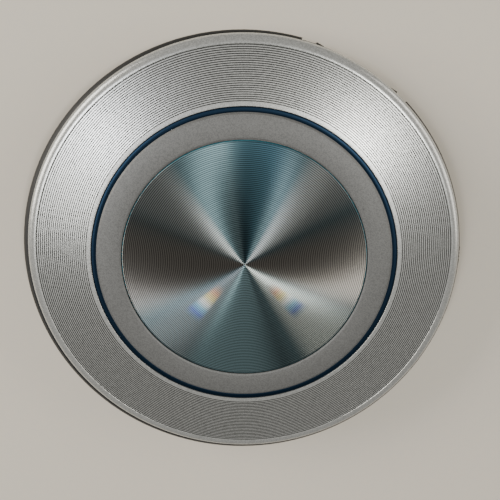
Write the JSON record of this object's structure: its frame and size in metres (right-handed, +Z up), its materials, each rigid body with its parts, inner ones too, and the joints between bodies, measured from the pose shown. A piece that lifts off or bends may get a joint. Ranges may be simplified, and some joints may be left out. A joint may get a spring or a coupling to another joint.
{
  "type": "portable disc player",
  "caption": "Slim round portable disc player with a hinged grooved silver lid, black case, disc drive, keys and sockets.",
  "frame": {"origin": "centre of the case on the surface that the feet stand on", "axes": "+Z up through the lid, +Y towards the hinge, +X to the right"},
  "size_m": [0.1318, 0.1315, 0.018],
  "materials": {
    "silver_paint": "satin metallic",
    "accent_blue": "anodised",
    "trim_silver": "satin metallic",
    "turned_blue": "turned, tinted lacquer",
    "case_black": "fine matte",
    "key_black": "satin",
    "rubber": "matte",
    "steel": "ground",
    "plated": "plated",
    "chassis_steel": "zinc plated",
    "motor_can": "plated",
    "board_green": "solder mask",
    "chip_black": "moulded epoxy",
    "capacitor": "sleeved",
    "gear_white": "acetal",
    "brass": "turned",
    "ceramic_ball": "polished",
    "lens_glass": "coated",
    "cell_sleeve": "shrink sleeve",
    "socket_black": "moulded"
  },
  "bodies": {
    "case": {"upper_case": "case_black", "well_deck": "case_black", "lower_case": "case_black", "feet": "rubber", "case_screws": "steel", "hinge_pins": "steel", "traverse_chassis": "chassis_steel", "dampers": "rubber", "damper_screws": "steel", "spindle_motor": "motor_can", "guide_rod": "steel", "support_rod": "steel", "feed_motor": "motor_can", "main_board": "board_green", "key_board": "board_green", "chips": "chip_black", "capacitors": "capacitor", "tact_switches": "steel", "headphone_jack": "socket_black", "power_inlet": "socket_black", "lid_switch": "socket_black", "hold_switch_base": "steel", "cell_a": "cell_sleeve", "cell_b": "cell_sleeve", "battery_contacts": "plated", "battery_springs": "plated", "latch_spring": "steel"},
    "lid": {"lid_shell": "silver_paint", "accent_ring": "accent_blue", "trim_ring": "trim_silver", "centre_disc": "turned_blue", "lid_frame": "case_black", "lid_pads": "rubber"},
    "battery_door": {"battery_door": "case_black"},
    "spindle": {"turntable": "key_black", "spindle_shaft": "steel", "disc_pad": "rubber", "chuck_balls": "ceramic_ball", "hub_cap": "steel"},
    "pickup": {"pickup_body": "chip_black", "pickup_cover": "plated", "objective_lens": "lens_glass"},
    "feed_screw": {"feed_screw": "steel", "screw_gear": "gear_white"},
    "motor_pinion": {"motor_pinion": "brass"},
    "open_slider": {"open_slider": "key_black", "latch_tooth": "steel"},
    "hold_knob": {"hold_knob": "key_black"},
    "skip_back_button": {"skip_back_button": "key_black"},
    "skip_forward_button": {"skip_forward_button": "key_black"},
    "play_button": {"play_button": "key_black"},
    "stop_button": {"stop_button": "key_black"},
    "volume_down_button": {"volume_down_button": "key_black"},
    "volume_up_button": {"volume_up_button": "key_black"}
  },
  "joints": [
    {"name": "lid_hinge", "type": "hinge", "parent": "case", "child": "lid", "pos_m": [0, 0.0631, 0.0132], "axis": [-1, 0, 0], "range_deg": [0, 78]},
    {"name": "door_slide", "type": "slide", "parent": "case", "child": "battery_door", "axis": [-1, 0, 0], "range_m": [0, 0.008]},
    {"name": "spindle_spin", "type": "hinge", "parent": "case", "child": "spindle", "pos_m": [0, 0, 0.0129], "axis": [0, 0, 1], "continuous": true},
    {"name": "pickup_slide", "type": "slide", "parent": "case", "child": "pickup", "axis": [1, 0, 0], "range_m": [0, 0.033]},
    {"name": "feed_screw_spin", "type": "hinge", "parent": "case", "child": "feed_screw", "pos_m": [0.01, -0.02, 0.0063], "axis": [-1, 0, 0], "range_deg": [0, 3970]},
    {"name": "motor_spin", "type": "hinge", "parent": "case", "child": "motor_pinion", "pos_m": [0.01, -0.02603, 0.0063], "axis": [-1, 0, 0], "range_deg": [-5960, 0]},
    {"name": "open_slide", "type": "slide", "parent": "case", "child": "open_slider", "axis": [1, 0, 0], "range_m": [0, 0.0035], "stiffness_N_per_m": 300, "deforming": ["latch_spring"]},
    {"name": "hold_slide", "type": "slide", "parent": "case", "child": "hold_knob", "axis": [-0.515, 0.8572, 0], "range_m": [-0.0015, 0.0015]},
    {"name": "skip_back_press", "type": "slide", "parent": "case", "child": "skip_back_button", "axis": [0.6018, 0.7986, 0], "range_m": [0, 0.00045], "stiffness_N_per_m": 800},
    {"name": "skip_forward_press", "type": "slide", "parent": "case", "child": "skip_forward_button", "axis": [0.4226, 0.9063, 0], "range_m": [0, 0.00045], "stiffness_N_per_m": 800},
    {"name": "play_press", "type": "slide", "parent": "case", "child": "play_button", "axis": [-0.4067, 0.9135, 0], "range_m": [0, 0.00045], "stiffness_N_per_m": 800},
    {"name": "stop_press", "type": "slide", "parent": "case", "child": "stop_button", "axis": [-0.5878, 0.809, 0], "range_m": [0, 0.00045], "stiffness_N_per_m": 800},
    {"name": "volume_down_press", "type": "slide", "parent": "case", "child": "volume_down_button", "axis": [-0.7431, 0.6691, 0], "range_m": [0, 0.00045], "stiffness_N_per_m": 800},
    {"name": "volume_up_press", "type": "slide", "parent": "case", "child": "volume_up_button", "axis": [-0.848, 0.5299, 0], "range_m": [0, 0.00045], "stiffness_N_per_m": 800}
  ],
  "couplings": [
    {"joint": "feed_screw_spin", "follows": "pickup_slide", "rad_per_m": 2094.4},
    {"joint": "motor_spin", "follows": "pickup_slide", "rad_per_m": -3141.6}
  ]
}
